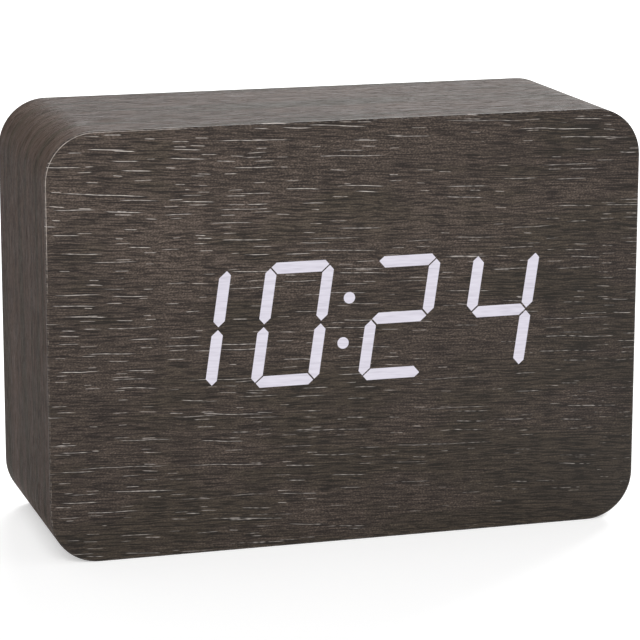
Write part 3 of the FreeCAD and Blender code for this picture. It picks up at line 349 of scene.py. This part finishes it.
# %% Find the bars in the fillings
def front_faces(name):
    """A merged copy of a node, cut down to the faces that look to the front, in separate flat islands."""
    shape = bmesh.new()
    shape.from_mesh(nodes[name].data)
    bmesh.ops.remove_doubles(shape, verts=shape.verts, dist=0.001 * MM)
    bmesh.ops.dissolve_limit(shape, angle_limit=math.radians(1), verts=shape.verts, edges=shape.edges)
    low = min(v.co.y for v in shape.verts)
    away = [f for f in shape.faces if any(v.co.y > low + 0.01 * MM for v in f.verts)]
    bmesh.ops.delete(shape, geom=away, context="FACES")
    return shape


def segment_of(face, middle, size):
    """Names a bar by where its middle lies in its digit."""
    place = face.calc_center_median() - middle
    up = place.z / size.z
    if abs(up) < 0.05:
        return "middle"
    if abs(up) > 0.4:
        return "top" if up > 0 else "bottom"
    side = place.x - place.z * math.tan(SLANT)
    return f"{'upper' if up > 0 else 'lower'}_{'right' if side > 0 else 'left'}"


# %% The skins
def piece(name, shape, finish, body="clock_body"):
    """Turns a bmesh into an object with one finish that rides on a body. Only sharp edges stay sharp."""
    mesh = bpy.data.meshes.new(name)
    shape.to_mesh(mesh)
    shape.free()
    mesh.shade_smooth()
    mesh.set_sharp_from_angle(angle=math.radians(35))
    mesh.materials.append(finish.material)
    made = bpy.data.objects.new(name, mesh)
    bpy.context.scene.collection.objects.link(made)
    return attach(made, body)


def glow():
    """Light with faint streaks that run as the grain of the sheet does."""
    light = Finish("digit_glow", Roughness=0.5, Specular_IOR_Level=0.2, Emission_Strength=1)
    x, y, z = light.axes()
    grain_z = z + GRAIN_FALL * x
    veil = light.noise(x * 0.12, 2, grain_z * 2.0, 1) + 0.6 * light.noise(x * 0.5, 3, grain_z * 4.6)
    stops = (0.1, paint(200, 196, 208)), (0.5, paint(217, 213, 225)), (0.9, paint(226, 223, 234))
    colour = light.ramp(0.5 + veil, *stops)
    return light.set(Base_Color=paint(40, 38, 38), Emission_Color=colour)


def raise_skin(skin, low_y):
    """Moves the flat faces from where the fillings end to just before the sheet, and gives them their thickness."""
    bmesh.ops.translate(skin, verts=skin.verts, vec=(0, front_y - low_y - SKIN, 0))
    bmesh.ops.solidify(skin, geom=skin.faces, thickness=SKIN * 0.9)
    return skin


finishes["digit_glow"] = glow()
for index, figure in enumerate(READING, start=1):
    name = f"digit_{index}_diffusers"
    low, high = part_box(name)
    skin = front_faces(name)
    dark = [f for f in skin.faces if segment_of(f, (low + high) / 2, high - low) not in LIT[figure]]
    print(f"digit {index} shows {figure}: {len(skin.faces)} bars, {len(skin.faces) - len(dark)} of them lit")
    bmesh.ops.delete(skin, geom=dark, context="FACES")
    piece(f"digit_{index}_glow", raise_skin(skin, low.y), finishes["digit_glow"])

dots = raise_skin(front_faces("colon_diffusers"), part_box("colon_diffusers")[0].y)
piece("colon_glow", dots, finishes["digit_glow"])

# %% [markdown]
# ## The plain wood and the plastics
#
# Fibreboard is pressed from fine fibres, so it gets short random fibres and a fuzzy cut face. Moulded plastics are
# one colour all through, and what makes them look real is the fine spark texture of their mould: a bump of shallow
# rounded grains, with the gloss a little lower in the hollows.


# %% Fibreboard
def fibreboard():
    board = Finish("fibreboard", Roughness=0.85, Specular_IOR_Level=0.2)
    x, y, z = board.axes()
    fibres = board.noise(x * 2.2, y * 2.2, z * 6, 3, 0.65)
    clumps = board.noise(x * 0.35, y * 0.35, z * 0.7, 2)
    stops = (0.2, paint(146, 112, 78)), (0.55, paint(178, 146, 108)), (0.85, paint(203, 176, 138))
    colour = board.ramp(0.5 + 0.8 * fibres + 0.6 * clumps, *stops)
    return board.set(Base_Color=colour, Roughness=0.85 + 0.2 * fibres, Normal=board.bump(0.5 + fibres, 0.08))


# %% Moulded plastic
def plastic(name, colour, gloss, grain, depth, mottle):
    """grain is the size of the spark texture's grains in mm, depth is how deep they are, and mottle how much the
    colour varies."""
    mould = Finish(name, Roughness=gloss)
    x, y, z = mould.axes()
    sparks = mould.noise(x / grain, y / grain, z / grain, 2, 0.6)
    cloud = mould.noise(x * 0.15, y * 0.15, z * 0.15, 1)
    lighter = tuple(min(1, c * (1 + 4 * mottle) + 0.01 * mottle) for c in colour[:3]) + (1,)
    shade = mould.mix(0.35 + 1.2 * cloud + 0.5 * sparks, colour, lighter)
    return mould.set(Base_Color=shade, Roughness=gloss + 0.25 * sparks, Normal=mould.bump(0.5 + sparks, depth))


finishes["fibreboard"] = fibreboard()
finishes["cover_plastic"] = plastic("cover_plastic", paint(28, 28, 29), 0.5, 0.32, 0.09, 0.12)
finishes["button_plastic"] = plastic("button_plastic", paint(22, 22, 24), 0.36, 0.35, 0.008, 0.08)
finishes["black_resin"] = plastic("black_resin", paint(32, 32, 34), 0.6, 0.12, 0.015, 0.1)
finishes["white_plastic"] = plastic("white_plastic", paint(232, 232, 229), 0.55, 0.3, 0.012, 0.0)
finishes["cream_plastic"] = plastic("cream_plastic", paint(226, 217, 196), 0.5, 0.25, 0.01, 0.01)
finishes["lead_sleeve"] = plastic("lead_sleeve", paint(150, 34, 30), 0.45, 0.4, 0.01, 0.05)
finishes["capacitor_sleeve"] = plastic("capacitor_sleeve", paint(38, 50, 104), 0.3, 0.8, 0.006, 0.05)
print(len(finishes), "finishes so far")

# %% [markdown]
# ## Metals
#
# Plated steel has no colour of its own apart from a slight tint. It shows through its gloss: rolled or drawn stock
# keeps fine lines along the draw, and handling leaves duller patches. So each metal gets stretched noise on its
# roughness and a very shallow relief, and black oxide gets the same with a dark coat.


# %% Plated and coated metals
def metal(name, colour, gloss, lines, worn, metallic=1.0):
    """lines are the draw lines per mm along X, Y and Z, and worn is a second colour for rubbed places."""
    plate = Finish(name, Metallic=metallic)
    x, y, z = plate.axes()
    drawn = plate.noise(x * lines[0], y * lines[1], z * lines[2], 2, 0.6)
    patches = plate.noise(x * 0.5, y * 0.5, z * 0.5, 3, 0.6)
    shade = plate.mix(plate.step(patches + 0.3 * drawn, -0.1, 0.2), colour, worn)
    dull = gloss + 0.35 * drawn + 0.3 * patches
    return plate.set(Base_Color=shade, Roughness=dull, Normal=plate.bump(0.5 + drawn, 0.003))


finishes["zinc_steel"] = metal("zinc_steel", paint(196, 200, 206), 0.32, (3, 3, 3), paint(176, 178, 180))
finishes["black_steel"] = metal("black_steel", paint(44, 44, 46), 0.42, (5, 5, 5), paint(66, 66, 68), 0.6)
finishes["tinned_metal"] = metal("tinned_metal", paint(214, 214, 216), 0.22, (0.6, 8, 8), paint(190, 190, 190))
finishes["cell_steel"] = metal("cell_steel", paint(208, 208, 210), 0.24, (6, 6, 0.8), paint(188, 188, 189))
finishes["nickel_strip"] = metal("nickel_strip", paint(212, 209, 200), 0.25, (0.8, 6, 6), paint(186, 180, 168))

# %% [markdown]
# ## Boards and light parts
#
# A circuit board is woven glass under a coat of green mask, and its copper tracks show through as slightly raised,
# lighter lines. The weave is two crossed waves, and the tracks are the borders of stepped cells. The milky fillings,
# the chips and the ribbon are small and seldom seen, but each keeps its own character.


# %% The green board
def circuit_board():
    board = Finish("circuit_board", Roughness=0.35, Coat_Weight=0.4)
    x, y, z = board.axes()
    weave = (x * 9).sine() * (z * 9).sine()
    settings = {"feature": "DISTANCE_TO_EDGE", "voronoi_dimensions": "2D"}
    cells = {"Vector": board.point(x * 0.45, z * 0.45, 0), "Scale": 1, "Randomness": 0.85}
    edge = board.add("ShaderNodeTexVoronoi", settings, cells)
    tracks = 1 - board.step(edge, 0.04, 0.1)
    coat = 0.5 + 0.12 * weave + board.noise(x * 0.3, y, z * 0.3, 2)
    mask = board.ramp(coat, (0, paint(12, 62, 34)), (1, paint(22, 92, 52)))
    colour = board.mix(0.55 * tracks, mask, paint(62, 134, 84))
    relief = board.bump(0.5 + 0.1 * weave + 0.5 * tracks, 0.03)
    return board.set(Base_Color=colour, Roughness=0.32 + 0.05 * weave, Normal=relief)


# %% Milky fillings, light chips and ribbon
def milky_resin():
    resin = Finish("milky_resin", Roughness=0.35, Specular_IOR_Level=0.5)
    x, y, z = resin.axes()
    haze = resin.noise(x * 1.5, y * 1.5, z * 1.5, 2)
    colour = resin.ramp(0.5 + haze, (0.2, paint(218, 220, 226)), (0.8, paint(240, 241, 245)))
    return resin.set(Base_Color=colour, Roughness=0.35 + 0.2 * haze)


def light_chip():
    chip = Finish("light_chip", Roughness=0.3)
    x, y, z = chip.axes()
    grains = chip.noise(x * 14, y * 14, z * 14, 2)
    colour = chip.ramp(0.5 + grains, (0.2, paint(226, 196, 92)), (0.8, paint(246, 226, 140)))
    return chip.set(Base_Color=colour, Roughness=0.3 + 0.3 * grains)


def ribbon_film():
    film = Finish("ribbon_film", Roughness=0.4, Specular_IOR_Level=0.5)
    x, y, z = film.axes()
    ways = (x * (2 * math.pi)).sine()
    colour = film.ramp(0.5 + 0.5 * ways, (0.35, paint(222, 224, 228)), (0.7, paint(188, 190, 196)))
    return film.set(Base_Color=colour, Roughness=0.4 + 0.1 * ways, Normal=film.bump(0.5 + 0.5 * ways, 0.05))


for make in (circuit_board, milky_resin, light_chip, ribbon_film):
    finishes[make.__name__] = make()

# %% [markdown]
# ## Cells
#
# An AAA cell is a drawn steel can in a shrunk plastic sleeve. The sleeve laps round both shoulders of the can and
# leaves a bright ring of steel at each end. Both are turned shapes, so each is a half profile that is spun about the
# cell's axis. They stand for the plain cylinders of the construction model, one cell in three upside down.


# %% The sleeve's finish
CELL_RADIUS = 5.25
CELL_LENGTH = 44.5
BAND_HEIGHT = 36  # where the pale end of the sleeve begins, over the cell's flat end
THREAD_HEIGHT = 35.2  # a thin pale line below it


def cell_jacket():
    """Dark film with a pale band near the plus end. It has to know which way up the cell stands."""
    film = Finish("cell_jacket", Roughness=0.3, Metallic=0.25, Coat_Weight=0.4)
    x, y, z = film.axes()
    low, high = (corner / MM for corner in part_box("battery_cells"))
    flipped = abs(x - (low.x + high.x) / 2) < CELL_RADIUS
    height = (z - (high.z - CELL_LENGTH)) * (1 - flipped) + (low.z + CELL_LENGTH - z) * flipped
    band = film.step(height, BAND_HEIGHT - 0.1, BAND_HEIGHT + 0.1)
    thread = 1 - film.step(abs(height - THREAD_HEIGHT), 0.16, 0.3)
    scuffs = film.noise(x * 1.1, y * 1.1, z * 0.9, 3, 0.65)
    shoulders = film.step(abs(height - 21.8), 20.2, 21.2)
    wrinkles = film.noise(x * 0.5, y * 0.5, z * 5, 1) * shoulders
    dark = film.ramp(0.5 + scuffs, (0.2, paint(34, 44, 50)), (0.8, paint(46, 58, 66)))
    pale = film.ramp(0.5 + scuffs, (0.2, paint(176, 178, 174)), (0.8, paint(202, 203, 198)))
    colour = film.mix(band + thread, dark, pale)
    gloss = 0.26 + 0.35 * film.step(scuffs, 0.05, 0.3)
    return film.set(Base_Color=colour, Roughness=gloss, Normal=film.bump(0.5 + 0.2 * scuffs + wrinkles, 0.05))


finishes["cell_jacket"] = cell_jacket()


# %% A turned piece
def turned(profile, x, y, foot, up):
    """Spins a profile of radius and height in mm round an upright axis. up is -1 for a piece on its head."""
    shape = bmesh.new()
    line = [shape.verts.new((radius * MM, 0, up * height * MM)) for radius, height in profile]
    for pair in zip(line, line[1:]):
        shape.edges.new(pair)
    sweep = {"cent": (0, 0, 0), "axis": (0, 0, 1), "angle": math.tau, "steps": 64, "use_merge": True}
    bmesh.ops.spin(shape, geom=shape.verts[:] + shape.edges[:], **sweep)
    bmesh.ops.remove_doubles(shape, verts=shape.verts, dist=0.001 * MM)
    bmesh.ops.recalc_face_normals(shape, faces=shape.faces)
    bmesh.ops.translate(shape, verts=shape.verts, vec=(x, y, foot))
    return shape


# %% The three cells
# Radius and height in mm: the can's flat end, its end with the nub, and the sleeve's outer and inner side.
FOOT = [(0, 0.25), (3.3, 0.25), (3.55, 0), (4.4, 0), (4.85, 0.2), (4.98, 0.6)]
NUB = [(4.98, 43.0), (4.7, 43.3), (2.5, 43.3), (2.1, 43.4), (1.9, 43.6), (1.9, 44.25), (1.65, 44.5), (0, 44.5)]
OUTSIDE = [(4.6, 0.2), (5.0, 0.25), (5.22, 0.5), (5.25, 0.8), (5.25, 42.9), (5.2, 43.3), (4.9, 43.55), (4.4, 43.6)]
INSIDE = [(4.4, 43.45), (4.8, 43.35), (5.0, 43.1), (5.0, 0.6), (4.85, 0.35), (4.6, 0.3), (4.6, 0.2)]
low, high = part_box("battery_cells")
middle = (low + high) / 2
apart = (high.x - low.x) / 2 - CELL_RADIUS * MM
for number, side in enumerate((-1, 0, 1), start=1):
    up = 1 if side else -1
    foot = high.z - CELL_LENGTH * MM if up > 0 else low.z + CELL_LENGTH * MM
    place = (middle.x + side * apart, middle.y, foot, up)
    can = piece(f"cell_{number}_can", turned(FOOT + NUB, *place), finishes["cell_steel"])
    film = turned(OUTSIDE + INSIDE, *place)
    sleeve = piece(f"cell_{number}_sleeve", film, finishes["cell_jacket"])
    for made in (can, sleeve):
        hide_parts("battery_cells")
    print(sleeve.name, [round(c / MM, 2) for c in place[:3]], len(sleeve.data.polygons), "faces")

# %% [markdown]
# ## Small parts at the rear
#
# Two things at the rear are too fine for the construction model. A thumb needs something to pull on, so the finger
# dip of the battery door has five low ribs. And the tongue of the power socket carries five flat contacts. Both are
# rows of small blocks with rounded edges: a cube for each, then one bevel over all of them.


# %% Rows of rounded blocks
def blocks(rows, rounding):
    """Blocks from pairs of centre and size in millimetres, with all their edges rounded."""
    shape = bmesh.new()
    for centre, size in rows:
        corners = bmesh.ops.create_cube(shape, size=1)["verts"]
        bmesh.ops.scale(shape, verts=corners, vec=[part * MM for part in size])
        bmesh.ops.translate(shape, verts=corners, vec=[part * MM for part in centre])
    edges = shape.edges[:]
    offset = rounding * MM
    bmesh.ops.bevel(shape, geom=edges, offset=offset, affect="EDGES", segments=2, profile=0.5, material=-1)
    return shape


# %% Grip ribs and contacts
DIP_RADIUS = 3.4
DIP_BELOW_TOP = 12.9
RIB_PITCH = 1.1
low, high = (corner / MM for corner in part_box("battery_door"))
rows = []
for level in (-2 * RIB_PITCH, -RIB_PITCH, 0, RIB_PITCH, 2 * RIB_PITCH):
    across = 2 * math.sqrt(DIP_RADIUS**2 - level**2) - 1.1
    centre = ((low.x + high.x) / 2, high.y - 0.32, high.z - DIP_BELOW_TOP + level)
    rows.append((centre, (across, 0.46, 0.45)))
piece("door_grip", blocks(rows, 0.13), finishes["cover_plastic"], "battery_door")
print("ribs", [round(size[0], 2) for centre, size in rows], "mm long")

CONTACT_PITCH = 0.65
CONTACT_SIZE = (0.3, 3.4, 0.08)
low, high = (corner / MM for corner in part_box("socket_tongue"))
middle_x, middle_y = (low.x + high.x) / 2, high.y - 1.9
rows = [((middle_x + place * CONTACT_PITCH, middle_y, high.z + 0.01), CONTACT_SIZE) for place in (-2, -1, 0, 1, 2)]
piece("socket_contacts", blocks(rows, 0.02), finishes["nickel_strip"])
print(len(rows), "contacts")

# %% [markdown]
# ## Dress the nodes
#
# The record says which finish each node has, so one loop gives every node its material.

# %% Give each node its finish
given = {part["node"]: part["material_slot"] for part in frame["record"]["subparts"]}
for name, node in nodes.items():
    for place in node.material_slots:
        place.material = finishes[given[name]].material
print(len(given), "nodes dressed in", len(set(given.values())), "finishes")

# %% [markdown]
# ## Table, light and camera
#
# The clock stands on a pale table that runs out to white. A soft lamp in front and above lights the face, a large one
# behind lays a sheen on the top, and a pale room fills the rest.
#
# A studio gets its white background from extra lamps on the table, and those would flood the clock too. Here
# the Light Path node tells what looks at the table. Only a ray from the camera or a mirror image sees it glow, so it
# looks white and lights nothing. Far out it glows more, where the lamps don't reach. The room does the same: it looks
# white to the camera, and lights the clock with less than half of that.


# %% The table
def table():
    """A flat sheet of 12 by 12 metres under the clock."""
    shape = bmesh.new()
    bmesh.ops.create_grid(shape, x_segments=1, y_segments=1, size=6)
    mesh = bpy.data.meshes.new("table")
    shape.to_mesh(mesh)
    shape.free()
    made = bpy.data.objects.new("table", mesh)
    bpy.context.scene.collection.objects.link(made)
    top = Finish("table", Roughness=1, Specular_IOR_Level=0, Emission_Color=(1, 1, 1, 1))
    x, y, z = top.axes()
    far = top.step(abs(x).larger(abs(y)), 400, 1600)
    seen, mirrored = top.add("ShaderNodeLightPath", {}, {}, ("Is Camera Ray", "Is Glossy Ray"))
    top.set(Base_Color=(0.8, 0.8, 0.8, 1), Emission_Strength=seen.larger(mirrored) * 0.47 + seen * far * 0.35)
    mesh.materials.append(top.material)
    return made


table()


# %% Lamps and room
def softbox(name, place, aim, size, power):
    """A rectangular lamp that looks at a point. Its size is in metres and its power in watts."""
    lamp = bpy.data.lights.new(name, "AREA")
    lamp.shape, lamp.size, lamp.size_y = "RECTANGLE", *size
    lamp.energy = power
    made = bpy.data.objects.new(name, lamp)
    made.location = place
    made.rotation_euler = (Vector(aim) - Vector(place)).to_track_quat("-Z", "Y").to_euler()
    bpy.context.scene.collection.objects.link(made)
    return made


block_middle = (0, 0, HALF_HEIGHT * MM)
softbox("key", (-0.26, -0.72, 0.62), block_middle, (0.5, 0.5), 4.5)
softbox("sheen", (0.8, 1.4, 0.95), block_middle, (1.4, 0.7), 47)

ROOM_LIGHT = 0.4
world = bpy.data.worlds.new("room")
bpy.context.scene.world = world
world.use_nodes = True
tree = world.node_tree
backdrop = tree.nodes["Background"]
backdrop.inputs["Color"].default_value = (1, 1, 1, 1)
seen = tree.nodes.new("ShaderNodeLightPath").outputs["Is Camera Ray"]
brightness = tree.nodes.new("ShaderNodeMapRange")
brightness.inputs["To Min"].default_value = ROOM_LIGHT
tree.links.new(seen, brightness.inputs["Value"])
tree.links.new(brightness.outputs["Result"], backdrop.inputs["Strength"])

# %% The camera
# It stands to the left, a little above the clock, and its long lens keeps the block's edges nearly parallel.
lens = bpy.data.cameras.new("camera")
lens.lens = 168.44
camera = bpy.data.objects.new("camera", lens)
camera.location = (-0.141343, -0.471577, 0.143877)
camera.rotation_euler = [math.radians(a) for a in (77.3206, -0.0729, -16.7349)]
bpy.context.scene.collection.objects.link(camera)
bpy.context.scene.camera = camera
bpy.context.scene.view_settings.view_transform = "Standard"
print("camera", [round(c, 3) for c in camera.location])
